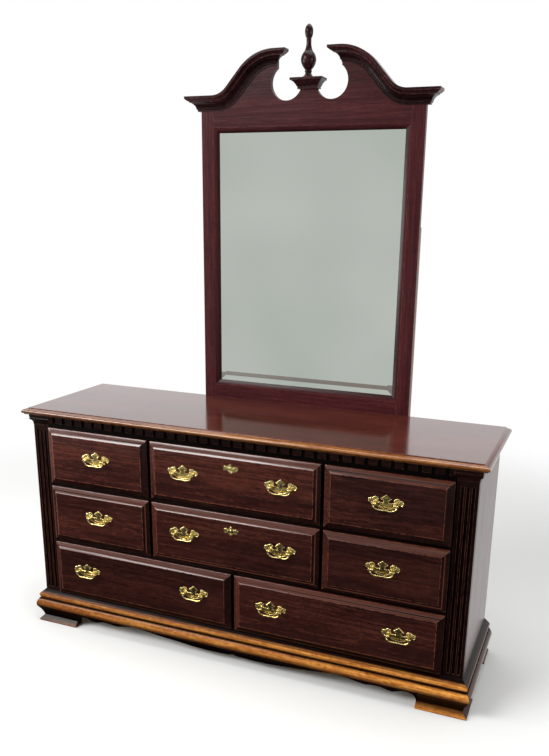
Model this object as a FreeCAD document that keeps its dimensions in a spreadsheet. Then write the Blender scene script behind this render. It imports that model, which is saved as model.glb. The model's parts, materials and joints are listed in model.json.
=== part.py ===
import FreeCAD, Part
import math
import os
import re

# A mahogany dresser with eight lipped drawers, bracket feet and a mirror with a swan-neck
# crown, fixed behind the top. Millimetres, +Z up, the front faces -Y, the floor is z = 0.
# The origin is on the floor, under the middle of the whole piece.

V = FreeCAD.Vector
doc = FreeCAD.newDocument("Dresser")
sheet = doc.addObject("Spreadsheet::Sheet", "Dims")

SIZES = {
    # top board
    "top_width": 1676, "top_depth": 485, "top_thk": 23,
    "top_over_side": 30.7, "top_over_front": 27.75, "top_over_back": 14,
    "top_mould": 19, "top_quirk": 3, "top_nose": 13, "top_round": 7,
    # carcase
    "base_top": 130, "base_join": 94, "frame_thk": 26, "rail_set": 4, "side_thk": 18,
    "back_thk": 6, "back_rail": 18, "board_thk": 12, "partition_thk": 28, "divider_mid": 320,
    "runner_in": 20, "guide_rise": 24, "top_rail": 52.5, "top_back_rail": 130,
    # pilasters
    "pilaster_width": 64.3, "pilaster_thk": 14, "flute_pitch": 16.75, "flute_radius": 5,
    "flute_deep": 3.5, "flute_foot": 15, "flute_head": 21.5,
    # drawer fronts: an overlapping lip, a sloped rim, a flat and a raised field
    "lip_height": 210, "lip_gap": 12, "lip_foot": 3, "lip_over": 9, "lip_clear": 5,
    "lip_edge": 9, "lip_shoulder": 14, "lip_field": 19, "rim_wide": 11, "flat_wide": 15,
    "field_in": 23, "seat_gap": 0.3, "front_back": 10, "tongue_side": 1, "tongue_top": 2,
    # drawer boxes
    "box_gap": 1.5, "box_side": 165, "box_rear": 25, "bottom_thk": 6, "bottom_up": 8, "back_drop": 8,
    # cornice over the pilasters and the dentil strip
    "cornice_high": 39, "cornice_proj": 10.5, "cornice_fascia": 12.5, "cornice_quirk": 2,
    "cornice_bead": 9, "cornice_low": 0.3, "dentil_pitch": 41.86, "dentil_gap": 14.4,
    "dentil_proj": 7.5, "dentil_low": 26.5, "dentil_high": 4, "frieze_low": 41.5,
    # base moulding and bracket boards
    "bead_top": 122, "bead_ledge": 9.5, "bead_proj": 20.5, "bead_mid": 108, "bead_foot": 16,
    "ovolo_top": 22, "ovolo_proj": 30.4, "ovolo_mid": 75, "ovolo_foot": 54, "ovolo_in": 24,
    "cove_proj": 15, "cove_mid": 37, "neck_proj": 10, "neck_up": 20, "pad_proj": 25,
    "pad_edge": 4, "bracket_thk": 18,
    # outline sawn under the front bracket board: how far in from the foot's inner end,
    # and how high, each turn of the curve lies
    "foot_long": 143.3, "foot_up": 21, "knee_in": 12, "knee_up": 46, "arch_in": 37,
    "arch_up": 54, "drop_in": 80, "drop_up": 37, "swell_in": 124, "swell_up": 48,
    "cusp_in": 170, "cusp_up": 43, "crest_in": 259, "crest_up": 61, "slope_in": 335,
    "slope_up": 51, "long_in": 411, "long_up": 41, "belly_in": 492, "belly_up": 32,
    "mid_up": 30, "point_wide": 33, "point_up": 37, "point_round": 2,
    # side bracket boards and rear feet
    "side_foot": 97, "side_rear_foot": 103, "side_arch": 60, "rear_foot_long": 130,
    "rear_foot_toe": 45, "block_long": 45,
    # mirror frame
    "mirror_mid": 71, "mirror_half": 405.5, "mirror_stile": 46.7, "mirror_thk": 20,
    "mirror_seat": 7.5, "mirror_rail": 49.5, "mirror_high": 977, "stile_high": 1030,
    "stick_wide": 18.5, "stick_front": 1, "stick_back": 10, "stick_lip": 2.5, "stick_deep": 7,
    "glass_thk": 5, "glass_hold": 12, "backing_thk": 4,
    # swan-neck crown
    "crown_high": 48, "crown_proj": 36, "crown_low": 3, "crown_bead": 7, "crown_ridge": 29,
    "crown_mid_proj": 24, "crown_top_edge": 8, "crown_level": 57.5, "crown_radius": 122,
    "crown_turn": 48, "crown_inner": 115.7, "crown_ear_out": 9.5, "crown_ear_scale": 1.12,
    "crown_tip": 2.3, "crown_in_scale": 1.24, "crest_back": 40, "circle_mid": 81,
    "circle_up": 1114, "circle_radius": 57,
    # plinth cap and finial
    "cap_down": 24, "cap_high": 34, "cap_half": 57.5, "cap_foot_half": 37,
    "cap_foot_proj": 10, "cap_fillet": 8, "cap_edge": 8, "finial_high": 163,
    "finial_base": 19, "finial_ring": 12, "finial_waist": 10, "finial_ball": 25.8,
    "finial_neck": 8.3, "finial_bud": 13.8, "finial_set": 5,
    # mirror supports and their screws
    "support_wide": 44, "support_thk": 18, "support_down": 330, "support_up": 650,
    "spacer_long": 190, "screw_radius": 2, "screw_head": 4.5,
    "screw_sunk": 3, "screw_clear": 0.05, "screw_long": 62, "screw_short": 30,
    "screw_inset": 30, "screw_gap": 70, "screw_stile": 76, "screw_top": 566,
    # pulls
    "plate_thk": 1.6, "post_half": 31.75, "post_up": 9.5, "post_out": 13, "post_head": 5,
    "post_neck": 3.2, "post_collar": 6.5, "post_collar_thk": 2.5, "shank_radius": 2,
    "shank_clear": 0.1, "nut_radius": 5, "nut_thk": 3, "bail_pin": 1.6, "pin_clear": 0.05,
    "bail_wire": 2.4, "bail_ball": 3.3, "ball_gap": 0.4, "bail_drop": 18.5,
    "pull_centre": 180, "pull_bottom": 224,
    "plate_bar_low": 20, "plate_bar_end": 14, "plate_bar_half": 28, "boss_radius": 9.5,
    "boss_down": 3, "diamond_half": 18, "diamond_top": 30, "diamond_low": 1, "wing_out": 35,
    "wing_up": 9.5, "wing_radius": 10.5, "lobe_out": 47.5, "lobe_up": 5, "lobe_radius": 9.5,
    # escutcheons
    "key_up": 48, "key_half": 19, "key_wing": 8.5, "key_body": 11, "key_top": 20,
    "key_low": 17, "key_hole": 2.6, "key_slot": 8, "key_slot_half": 1.3,
    # how far a cutting shape runs past what it cuts
    "past": 60,
}

FORMULAS = {
    "pull_out": "lip_field + plate_thk + post_out + post_head",
    "front_tip": "(pull_out - top_over_front - top_depth - mirror_thk + mirror_seat - support_thk) / 2",
    "case_front": "front_tip + top_over_front",
    "top_back": "front_tip + top_depth",
    "case_back": "top_back - top_over_back",
    "case_half": "top_width / 2 - top_over_side",
    "lip_first": "base_top + lip_foot",
    "case_top": "lip_first + 3 * lip_height + 2 * lip_gap - lip_over + top_rail",
    "top_height": "case_top + top_thk",
    "case_in": "case_half - side_thk",
    "frame_back": "case_front + frame_thk",
    "rail_face": "case_front + rail_set",
    "panel_face": "case_back - back_thk",
    "rail_back": "panel_face - back_rail",
    "pilaster_in": "case_half - pilaster_width",
    "lip_out": "pilaster_in - lip_clear",
    "open_out": "lip_out - lip_over",
    "open_first": "lip_first + lip_over",
    "open_tall": "lip_height - 2 * lip_over",
    "row_pitch": "lip_height + lip_gap",
    "mirror_open": "mirror_half - mirror_stile",
    "mirror_front": "top_back - mirror_seat",
    "mirror_back": "mirror_front + mirror_thk",
    "support_back": "mirror_back + support_thk",
    "field_face": "case_front - lip_field",
    "drawer_back": "case_front + front_back",
    "box_length": "rail_back - box_rear - drawer_back",
    "foot_end": "case_half - foot_long",
    "crown_start": "mirror_half - crown_level",
    "crown_ear": "mirror_half + crown_ear_out",
    "cap_low": "circle_up - cap_down",
    "cap_top": "cap_low + cap_high",
    "support_mid": "(mirror_open + mirror_half) / 2",
    "support_low": "case_top - support_down",
    "support_high": "top_height + support_up",
    "screw_second": "case_top - screw_inset",
    "screw_first": "screw_second - screw_gap",
    "screw_third": "top_height + screw_stile",
    "screw_fourth": "top_height + screw_top",
    "flute_low": "base_top + flute_foot",
    "flute_high": "case_top - cornice_high - flute_head",
    "pivot_face": "field_face - plate_thk - post_out",
    "elbow_half": "post_half + post_head + ball_gap + bail_ball",
}


def link(text):
    """Size names become references to the sheet."""
    return re.sub(r"[a-z][a-z_]+", lambda name: "Dims." + name.group(0), text)


for row, (alias, value) in enumerate({**SIZES, **FORMULAS}.items(), start=1):
    sheet.set("A%d" % row, alias)
    sheet.set("B%d" % row, "=" + value if alias in FORMULAS else str(value))
    sheet.setAlias("B%d" % row, alias)
doc.recompute()


def size(alias):
    return float(sheet.get(alias))


nodes = []


def node(label, pieces):
    """One exported sub-part: a single piece, or several as separate solids."""
    if len(pieces) == 1:
        item = pieces[0]
    else:
        item = doc.addObject("Part::Compound", label)
        item.Links = pieces
    item.Label = label
    nodes.append(item)
    return item


def board(x_from, x_to, y_from, y_to, z_from, z_to):
    box = doc.addObject("Part::Box", "Board")
    for axis, side, low, high in (("x", "Length", x_from, x_to), ("y", "Width", y_from, y_to),
                                  ("z", "Height", z_from, z_to)):
        box.setExpression("Placement.Base." + axis, link(low))
        box.setExpression(side, link("(%s) - (%s)" % (high, low)))
    return box


def both(x_from, x_to, *rest, mid="0"):
    """A board on the right of a middle line and its twin on the left."""
    return [board("%s + %s" % (mid, x_from), "%s + %s" % (mid, x_to), *rest),
            board("%s - (%s)" % (mid, x_to), "%s - (%s)" % (mid, x_from), *rest)]


def rod(radius, length, x_at, y_at, z_at, turn=(1, 0, 0), degrees=0):
    item = doc.addObject("Part::Cylinder", "Rod")
    item.setExpression("Radius", link(radius))
    item.setExpression("Height", link(length))
    item.Placement = FreeCAD.Placement(V(), FreeCAD.Rotation(V(*turn), degrees))
    for axis, text in zip("xyz", (x_at, y_at, z_at)):
        item.setExpression("Placement.Base." + axis, link(text))
    return item


def ball(radius, x_at, y_at, z_at):
    item = doc.addObject("Part::Sphere", "Ball")
    item.setExpression("Radius", link(radius))
    for axis, text in zip("xyz", (x_at, y_at, z_at)):
        item.setExpression("Placement.Base." + axis, link(text))
    return item


def bevel(x_from, x_to, z_from, z_to, y_front, y_back, inset):
    """A frustum whose front face is smaller than its back face by the inset."""
    item, inset = doc.addObject("Part::Wedge", "Bevel"), "(%s)" % inset
    for name, text in (("Xmin", "%s + %s" % (x_from, inset)), ("Xmax", "%s - %s" % (x_to, inset)),
                       ("Zmin", "%s + %s" % (z_from, inset)), ("Zmax", "%s - %s" % (z_to, inset)),
                       ("X2min", x_from), ("X2max", x_to), ("Z2min", z_from), ("Z2max", z_to),
                       ("Ymin", y_front), ("Ymax", y_back)):
        item.setExpression(name, link(text))
    return item


def joined(pieces):
    item = doc.addObject("Part::MultiFuse", "Joined")
    item.Shapes = pieces
    item.Refine = True
    return item


def less(base, tools):
    item = doc.addObject("Part::Cut", "Less")
    item.Base = base
    item.Tool = tools[0] if len(tools) == 1 else joined(tools)
    return item


def mirrored(source, mid="0"):
    item = doc.addObject("Part::Mirroring", "Mirrored")
    item.Source = source
    item.Normal = V(1, 0, 0)
    item.setExpression("Base.x", link(mid))
    return item


def shaped(shape, x_at="0", y_at="0", z_at="0"):
    """A piece whose curved shape is drawn from the sheet's sizes."""
    item = doc.addObject("Part::Feature", "Shaped")
    item.Shape = shape
    for axis, text in zip("xyz", (x_at, y_at, z_at)):
        item.setExpression("Placement.Base." + axis, link(text))
    return item


def face(path, place):
    """A closed outline: a point is joined by a straight edge, a (middle, end) pair by an arc."""
    edges, last = [], path[0]
    for step in path[1:] + [path[0]]:
        if isinstance(step[0], tuple):
            edges.append(Part.Arc(place(*last), place(*step[0]), place(*step[1])).toShape())
            last = step[1]
        elif math.dist(step, last) > 1e-6:
            edges.append(Part.LineSegment(place(*last), place(*step)).toShape())
            last = step
    return Part.Face(Part.Wire(edges))


def moulded_block(profile, x_low, x_high, y_front, y_back, low_scale=1.0, high_scale=1.0):
    """A block with a moulding on its front and, with a scale above 0, on either end.

    The profile is a path of (projection, height) from the top to the bottom.
    """
    deep, past = y_back - y_front, size("past")
    wide = x_high - x_low + 2 * past
    tall = [step[1][1] if isinstance(step[0], tuple) else step[1] for step in profile]

    def scaled(path, scale):
        return [tuple((out * scale, up) for out, up in step) if isinstance(step[0], tuple)
                else (step[0] * scale, step[1]) for step in path]

    front = face([(-deep, tall[0])] + profile + [(-deep, tall[-1])],
                 lambda out, up: V(x_low - past, y_front - out, up)).extrude(V(wide, 0, 0))
    for edge, sign, scale in ((x_low, -1, low_scale), (x_high, 1, high_scale)):
        end = face([(-wide, tall[0])] + (scaled(profile, scale) if scale else
                                         [(0, tall[0]), (0, tall[-1])]) + [(-wide, tall[-1])],
                   lambda out, up: V(edge + sign * out, y_front - past, up))
        front = front.common(end.extrude(V(0, deep + 2 * past, 0)))
    return front


def plan(points, low, high):
    """An upright prism over a plan outline."""
    return face(points, lambda x, y: V(x, y, low)).extrude(V(0, 0, high - low))


def mitred(ring, half, front, back, low, high, deep=0):
    """Splits a moulding that wraps round the case into its front, right and left strips."""
    out = size("past")
    strips = [plan([(-half + deep, front + deep), (half - deep, front + deep),
                    (half + out, front - out), (-half - out, front - out)], low, high)]
    for sign in (1, -1):
        strips.append(plan([(sign * (half - deep), front + deep), (sign * (half + out), front - out),
                            (sign * (half + out), back), (sign * (half - deep), back)], low, high))
    return [ring.common(strip) for strip in strips]


def spline(points, place):
    curve = Part.BSplineCurve()
    curve.interpolate([place(*point) for point in points])
    return curve.toShape()


def top_board():
    mould, quirk, turn = size("top_mould"), size("top_quirk"), size("top_round")
    top = size("top_height")
    nose = top - size("top_nose")
    profile = [(-mould, top), (-mould, top - quirk),
               ((-(mould + turn) / 2, top - quirk - 1), (-turn, nose + turn)),
               ((0, nose), (-turn, nose - turn)), (-turn, top - size("top_thk"))]
    half = size("top_width") / 2
    return shaped(moulded_block(profile, -half, half, size("front_tip"), size("top_back")))


def cornice():
    """The bed moulding: capitals over the pilasters and strips along both sides."""
    top, proj, quirk = size("case_top"), size("cornice_proj"), size("cornice_quirk")
    fascia, bead, low = size("cornice_fascia"), size("cornice_bead"), size("cornice_low")
    foot = top - size("cornice_high")
    step = top - fascia
    profile = [(proj, top), (proj, step), (proj - quirk, step),
               ((proj, step - bead / 2), (proj - quirk, step - bead)),
               ((low + quirk, (step - bead + foot) / 2 + quirk), (low, foot))]
    half, front, back = size("case_half"), size("case_front"), size("case_back")
    capital = moulded_block(profile, size("pilaster_in"), half, front, front + size("side_thk"))
    ring = moulded_block(profile, -half, half, front, back)
    keep = Part.makeBox(2 * half, back - front, top, V(-half, front, 0))
    capital_front = mitred(capital.cut(keep), half, front, back, foot, top)[0]
    side = mitred(ring.cut(keep), half, front, back, foot, top)[1]
    right = [shaped(capital_front), shaped(side)]
    return right + [mirrored(piece) for piece in right]


def base_strips():
    """The base moulding above the brackets: one front strip and two side strips."""
    join, top = size("base_join"), size("base_top")
    ledge, foot, mid = size("bead_ledge"), size("bead_foot"), size("bead_mid")
    profile = [(0, top), (ledge, size("bead_top")), (ledge + 4, size("bead_top") - 4),
               ((size("bead_proj"), mid), (foot, 2 * mid - size("bead_top") + 4)), (foot, join)]
    half, front, back = size("case_half"), size("case_front"), size("case_back")
    ring = moulded_block(profile, -half, half, front, back)
    ring = ring.cut(Part.makeBox(2 * half, back - front, top, V(-half, front, 0)))
    return [shaped(strip) for strip in mitred(ring, half, front, back, join, top)]


def bracket_boards():
    """Moulded boards under the case, mitred at the front corners and sawn into feet."""
    join, thk = size("base_join"), size("bracket_thk")
    top_out, foot_out = size("ovolo_top"), size("ovolo_in")
    profile = [(top_out, join), (top_out, join - 3),
               ((size("ovolo_proj"), size("ovolo_mid")), (foot_out, size("ovolo_foot"))),
               ((size("cove_proj"), size("cove_mid")), (size("neck_proj"), size("neck_up"))),
               (size("pad_proj"), size("pad_edge")), (size("pad_proj"), 0)]
    half, front, back = size("case_half"), size("case_front"), size("case_back")
    ring = moulded_block(profile, -half, half, front, back)
    ring = ring.cut(Part.makeBox(2 * (half - thk), back - front, join,
                                 V(thk - half, front + thk, 0)))
    front_board, right, left = mitred(ring, half, front, back, 0, join, thk)
    front_board = front_board.cut(front_outline(front))
    sides = [side.cut(side_outline()) for side in (right, left)]
    return [shaped(front_board)], [shaped(side) for side in sides]


def front_outline(front):
    """The waste under the front board: arch, drop lobe, cusp, long swell and middle point."""
    keys = [("foot_end", "foot_up", 0), ("foot_end", "knee_up", "knee_in")]
    half = [(size(x) - (size(shift) if shift else 0), size(z)) for x, z, shift in keys]
    half += [(size("foot_end") - size(name + "_in"), size(name + "_up"))
             for name in ("arch", "drop", "swell", "cusp", "crest", "slope", "long", "belly")]
    foot, side, low = half[0][0], size("point_wide"), size("mid_up")
    half.append((side, low))
    bulge = (side / 2, (low + size("point_up")) / 2 - size("point_round"))

    def place(x, z):
        return V(x, front - size("past"), z)

    def mirror(points):
        return [(-x, z) for x, z in reversed(points)]
    point = [place(side, low), place(*bulge), place(0, size("point_up")),
             place(-bulge[0], bulge[1]), place(-side, low)]
    corners = [place(-foot, half[0][1]), place(-foot, -5), place(foot, -5), place(*half[0])]
    edges = [spline(half, place), Part.Arc(*point[:3]).toShape(), Part.Arc(*point[2:]).toShape(),
             spline(mirror(half), place)]
    edges += [Part.LineSegment(*pair).toShape() for pair in zip(corners, corners[1:])]
    return Part.Face(Part.Wire(edges)).extrude(V(0, 2 * size("past"), 0))


def side_outline():
    """The waste under a side board: two brackets with a flat arch between them."""
    foot, knee, rise = size("foot_up"), size("knee_in"), size("side_arch")
    start = size("case_front") + size("side_foot")
    end = size("case_back") - size("side_rear_foot")
    path = [(start, -5), (start, foot), ((start + knee, rise - 8), (start + 4 * knee, rise)),
            (end - 4 * knee, rise), ((end - knee, rise - 8), (end, foot)), (end, -5)]
    wide = size("top_width") + size("past")
    return face(path, lambda y, z: V(-wide / 2, y, z)).extrude(V(wide, 0, 0))


def rear_feet():
    """A plain bracket across the back at each rear foot, and blocks glued in the corners."""
    thk, join, back = size("bracket_thk"), size("base_join"), size("case_back")
    out = size("case_half") - thk
    wide, toe = size("rear_foot_long"), size("rear_foot_toe")
    foot = face([(out, 0), (out - toe, 0), ((out - toe - 14, join * 0.6), (out - wide, join - 20)),
                 (out - wide, join), (out, join)], lambda x, z: V(x, back - thk, z))
    front, side = size("case_front") + thk, size("block_long")
    blocks = [plan([(out, y), (out, y + sign * side), (out - side, y)], 0.5, join)
              for y, sign in ((front, 1), (back - thk, -1))]
    right = [shaped(foot.extrude(V(0, thk, 0)))]
    corner = [shaped(block) for block in blocks]
    return (right + [mirrored(piece) for piece in right],
            corner + [mirrored(piece) for piece in corner])


def crown_profile(base):
    """Heights above the low edge against projection from the board, as a closed outline."""
    low, bead, ridge = size("crown_low"), size("crown_bead"), size("crown_ridge")
    high, proj, mid = size("crown_high"), size("crown_proj"), size("crown_mid_proj")
    edge = high - size("crown_top_edge")
    return [(proj, base + high), (proj, base + edge),
            ((mid + 8, base + (ridge + edge) / 2 + 2), (mid + 3, base + ridge + 3)),
            (mid, base + ridge + 3), (mid, base + ridge),
            ((low + 5, base + (bead + ridge) / 2 - 3), (low + 3, base + bead)),
            (low, base + bead - 2), (low, base)]


def crown(low):
    """One half of the swan-neck crown: a level ear, a double curve and a level inner end."""
    start, radius, end = size("crown_start"), size("crown_radius"), size("crown_inner")
    turn, front, back = size("crown_turn"), size("mirror_front"), size("mirror_back")
    ear, high = size("crown_ear"), size("crown_high")
    flat = face([(0, low + high)] + crown_profile(low) + [(0, low)],
                lambda out, up: V(start, front - out, up))
    lean = math.radians(turn)
    run = (start - end - 2 * radius * math.sin(lean)) / math.cos(lean)
    first = V(start, 0, low + radius)
    parts = [flat.revolve(first, V(0, 1, 0), turn)]
    tilted = flat.rotated(first, V(0, 1, 0), turn)
    along = V(-run * math.cos(lean), 0, run * math.sin(lean))
    parts.append(tilted.extrude(along))
    tilted = tilted.translated(along)
    second = V(end, 0, low + along.z + radius - 2 * radius * math.cos(lean))
    parts.append(tilted.revolve(second, V(0, 1, 0), -turn))
    reach = second.z + radius
    parts.append(moulded_block(crown_profile(reach), end + size("crown_tip"), end, front, front,
                               size("crown_in_scale"), 0))
    outer = moulded_block(crown_profile(low), start, ear, front, back, 0, size("crown_ear_scale"))
    keep = Part.makeBox(ear - start + 5, back - front, high, V(start - 5, front, low))
    parts.append(outer.cut(keep))
    half = parts[0].multiFuse(parts[1:]).removeSplitter()
    right = shaped(half, "mirror_mid")
    return [right, mirrored(right, "mirror_mid")], second, reach


def crest_board(second, reach):
    """The fretted board under the crown, with an open circle on each side of the neck."""
    high, start, radius = size("top_height"), size("crown_start"), size("crown_radius")
    lift, ear, opening = size("crest_back"), size("crown_ear"), size("mirror_open")
    low, lean = high + size("stile_high"), math.radians(size("crown_turn"))
    inner, outer = radius - lift, radius + lift

    def swung(x, z, arm, angle):
        return (x + arm * math.cos(angle), z + arm * math.sin(angle))
    down, up = -math.pi / 2, math.pi / 2
    centre = (start, low + radius)
    circle, bore = (size("circle_mid"), high + size("circle_up")), size("circle_radius")
    cap = high + size("cap_low")
    neck = math.asin((cap - circle[1]) / bore)
    half = [(opening, high + size("mirror_high")), (opening, low), (ear, low), (ear, low + lift),
            (start, low + lift),
            (swung(*centre, inner, down - lean / 2), swung(*centre, inner, down - lean)),
            swung(second.x, second.z, outer, up - lean),
            (swung(second.x, second.z, outer, up - lean / 2), (second.x, reach + lift)),
            (second.x, circle[1] + math.sqrt(bore ** 2 - (second.x - circle[0]) ** 2)),
            (swung(*circle, bore, -neck / 2), swung(*circle, bore, math.pi - neck))]
    right = face(half + [(0, cap), (0, high + size("mirror_high"))],
                 lambda x, z: V(x, size("mirror_front"), z))
    right = right.extrude(V(0, size("mirror_thk"), 0))
    whole = right.fuse(right.mirror(V(), V(1, 0, 0))).removeSplitter()
    return shaped(whole, "mirror_mid")


def sticking():
    """Four mitred strips round the glass, sloping in from the frame to the glass."""
    wide, lip, front = size("stick_wide"), size("stick_lip"), size("mirror_front")
    near, deep, far = size("stick_front"), size("stick_deep"), size("stick_back")
    half, low = size("mirror_open"), size("top_height") + size("mirror_rail")
    high = size("top_height") + size("mirror_high")
    section = [(0, near), (lip, near), ((wide * 0.4, near + 1.5), (wide, deep)), (wide, far),
               (0, far)]
    across = V(2 * half, 0, 0)
    up = V(0, 0, high - low)
    strips = [
        (face(section, lambda a, y: V(-half, front + y, low + a)).extrude(across),
         [(-half, low), (half, low), (half - wide, low + wide), (wide - half, low + wide)]),
        (face(section, lambda a, y: V(-half, front + y, high - a)).extrude(across),
         [(-half, high), (half, high), (half - wide, high - wide), (wide - half, high - wide)])]
    for sign in (1, -1):
        edge, inner = sign * half, sign * (half - wide)
        strips.append((face(section, lambda a, y: V(edge - sign * a, front + y, low)).extrude(up),
                       [(edge, low), (edge, high), (inner, high - wide), (inner, low + wide)]))
    mitres = [face(outline, lambda x, z: V(x, front, z)).extrude(V(0, far, 0))
              for strip, outline in strips]
    return [shaped(strip.common(mitre), "mirror_mid")
            for (strip, outline), mitre in zip(strips, mitres)]


def finial_cap():
    low, top = (size("top_height") + size(name) for name in ("cap_low", "cap_top"))
    foot, fillet, edge = size("cap_foot_proj"), size("cap_fillet"), size("cap_edge")
    plane = size("cap_foot_half") - foot
    proj = size("cap_half") - plane
    profile = [(proj, top), (proj, top - edge), (proj - 3, top - edge),
               ((foot + 5, low + fillet + 6), (foot + 2, low + fillet)), (foot, low + fillet),
               (foot, low)]
    block = moulded_block(profile, -plane, plane, size("mirror_front"), size("mirror_back"))
    return shaped(block, "mirror_mid")


def finial():
    """A turned vase and bud on the plinth cap."""
    base, waist, ring = size("finial_base"), size("finial_waist"), size("finial_ring")
    belly, neck, bud, high = (size("finial_" + name) for name in ("ball", "neck", "bud", "high"))
    outline = [(0, 0), (base, 0), (base, 3), ((waist + 3, 8), (waist, 15)),
               ((ring, 19.5), (waist + 0.5, 24)), ((belly - 5, 37), (belly, 54)),
               ((belly - 2, 65), (neck + 6, 80)), ((neck + 1.6, 92), (neck, 106)),
               (neck, high - 42), (neck + 1.5, high - 42),
               ((bud - 0.8, high - 32), (bud, high - 23)), ((bud - 4, high - 8), (1, high)), (0, high)]
    turned = face(outline, lambda x, z: V(x, 0, z)).revolve(V(), V(0, 0, 1), 360)
    return shaped(turned, "mirror_mid", "mirror_front - finial_set", "top_height + cap_top")


def plate_shape():
    """A pull's back plate: a bar, two bosses, a centre diamond and a scrolled wing each side."""
    thk = size("plate_thk")
    toward = V(0, -1, 0)

    def disc(name_radius, x, z):
        return Part.makeCylinder(size(name_radius), thk, V(x, 0, z), toward)
    low, half, across = size("plate_bar_low"), size("plate_bar_half"), size("diamond_half")
    top, foot, end = size("diamond_top"), size("diamond_low"), size("plate_bar_end")
    parts = [face([(-half, 3), (half, 3), (half, -end), ((0, -low), (-half, -end))],
                  lambda x, z: V(x, 0, z)).extrude(V(0, -thk, 0)),
             face([(0, top), (across, (top + foot) / 2), (0, foot), (-across, (top + foot) / 2)],
                  lambda x, z: V(x, 0, z)).extrude(V(0, -thk, 0)),
             Part.makeBox(across, thk, across, V(-across / 2, -thk, -3))]
    for sign in (-1, 1):
        parts += [disc("boss_radius", sign * size("post_half"), -size("boss_down")),
                  disc("wing_radius", sign * size("wing_out"), size("wing_up")),
                  disc("lobe_radius", sign * size("lobe_out"), size("lobe_up"))]
    plate = parts[0].multiFuse(parts[1:]).removeSplitter()
    hole = size("shank_radius") + size("shank_clear")
    for sign in (-1, 1):
        plate = plate.cut(Part.makeCylinder(hole, 3 * thk, V(sign * size("post_half"), thk, 0),
                                            toward))
    return plate


def post_shape():
    """A turned post: shank through the drawer front, collar, neck and a bored round head."""
    thk, out, head = size("plate_thk"), size("post_out"), size("post_head")
    toward, start = V(0, -1, 0), size("drawer_back") - size("field_face") + size("nut_thk") + 1
    shank = Part.makeCylinder(size("shank_radius"), start + thk, V(0, start, 0), toward)
    collar = Part.makeCylinder(size("post_collar"), size("post_collar_thk"), V(0, -thk, 0), toward)
    neck = Part.makeCylinder(size("post_neck"), out, V(0, -thk, 0), toward)
    knob = Part.makeSphere(head, V(0, -thk - out, 0))
    bore = Part.makeCylinder(size("bail_pin") + size("pin_clear"), 3 * head,
                             V(-1.5 * head, -thk - out, 0), V(1, 0, 0))
    return shank.multiFuse([collar, neck, knob]).cut(bore)


def nut_shape():
    start = size("drawer_back") - size("field_face")
    nut = Part.makeCylinder(size("nut_radius"), size("nut_thk"), V(0, start, 0), V(0, 1, 0))
    hole = size("shank_radius") + size("pin_clear")
    return nut.cut(Part.makeCylinder(hole, 2 * size("nut_thk"), V(0, start - 1, 0), V(0, 1, 0)))


def bail_shape():
    """The swinging handle: a bent wire, a ball at each elbow and a pin into each post."""
    elbow, drop, wire = size("elbow_half"), size("bail_drop"), size("bail_wire")
    path = [(elbow, 0), (elbow * 0.93, -drop * 0.5), (elbow * 0.7, -drop * 0.92), (0, -drop)]
    path += [(-x, z) for x, z in reversed(path[:-1])]
    line = Part.Wire([spline(path, lambda x, z: V(x, 0, z))])
    along = line.Edges[0].tangentAt(line.Edges[0].FirstParameter)
    ring = Part.Wire([Part.Circle(V(elbow, 0, 0), along, wire).toShape()])
    parts = [line.makePipeShell([ring], True, False)]
    for sign in (-1, 1):
        parts.append(Part.makeSphere(size("bail_ball"), V(sign * elbow, 0, 0)))
        parts.append(Part.makeCylinder(size("bail_pin"), elbow - size("post_half") + size("post_head"),
                                       V(sign * elbow, 0, 0), V(-sign, 0, 0)))
    return parts[0].multiFuse(parts[1:])


def escutcheon_shape():
    """A small winged keyhole plate."""
    thk, toward = size("plate_thk"), V(0, -1, 0)
    wing, half, body = size("key_wing"), size("key_half"), size("key_body")
    top, low = size("key_top"), size("key_low")
    parts = [Part.makeCylinder(body, thk, V(0, 0, 0), toward)]
    for tip, side in ((top, body), (-low, -body)):
        parts.append(face([(0, tip), (body * 0.8, side * 0.6), (-body * 0.8, side * 0.6)],
                          lambda x, z: V(x, 0, z)).extrude(V(0, -thk, 0)))
    for sign in (-1, 1):
        parts.append(Part.makeCylinder(wing, thk, V(sign * half, 0, 2), toward))
    plate = parts[0].multiFuse(parts[1:]).removeSplitter()
    slot = size("key_slot_half")
    hole = Part.makeCylinder(size("key_hole"), 3 * thk, V(0, thk, 2), toward)
    return plate.cut(hole).cut(Part.makeBox(2 * slot, 3 * thk, size("key_slot"),
                                            V(-slot, -2 * thk, 2 - size("key_slot"))))


# ---- carcase ------------------------------------------------------------------------------
TALL = ("base_join", "case_top")
INSIDE = ("frame_back", "rail_back")
ROW_LOW = ["open_first + %d * row_pitch" % row for row in range(3)]
ROW_HIGH = [low + " + open_tall" for low in ROW_LOW]

screw_rows = [("screw_first", "screw_long"), ("screw_second", "screw_long"),
              ("screw_third", "screw_short"), ("screw_fourth", "screw_short")]
drills, screws = [], []
for sign in "+-":
    x_at = "mirror_mid %s support_mid" % sign
    for z_at, length in screw_rows:
        spot = (x_at, "support_back", z_at, (1, 0, 0), 90)
        screws.append(joined([rod("screw_radius", length, *spot),
                              rod("screw_head", "screw_sunk", *spot)]))
        drills += [rod("screw_radius + screw_clear", length + " + 1", *spot),
                   rod("screw_head + screw_clear", "screw_sunk", *spot)]
drill = joined(drills)

node("top_board", [top_board()])
node("side_panels", both("case_in", "case_half", "frame_back", "case_back", *TALL))
node("back_panel", [less(board("-case_in", "case_in", "panel_face", "case_back",
                               "base_top - board_thk", "case_top"), [drill])])
back_rows = [("base_top - board_thk", ROW_LOW[0]), (ROW_LOW[1] + " - 3 * board_thk", ROW_LOW[1]),
             (ROW_LOW[2] + " - 3 * board_thk", ROW_LOW[2])]
top_back_rail = board("-case_in", "case_in", "rail_back", "panel_face",
                      "case_top - top_back_rail", "case_top")
node("back_rails", [board("-case_in", "case_in", "rail_back", "panel_face", low, high)
                    for low, high in back_rows] + [less(top_back_rail, [drill])])

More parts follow.
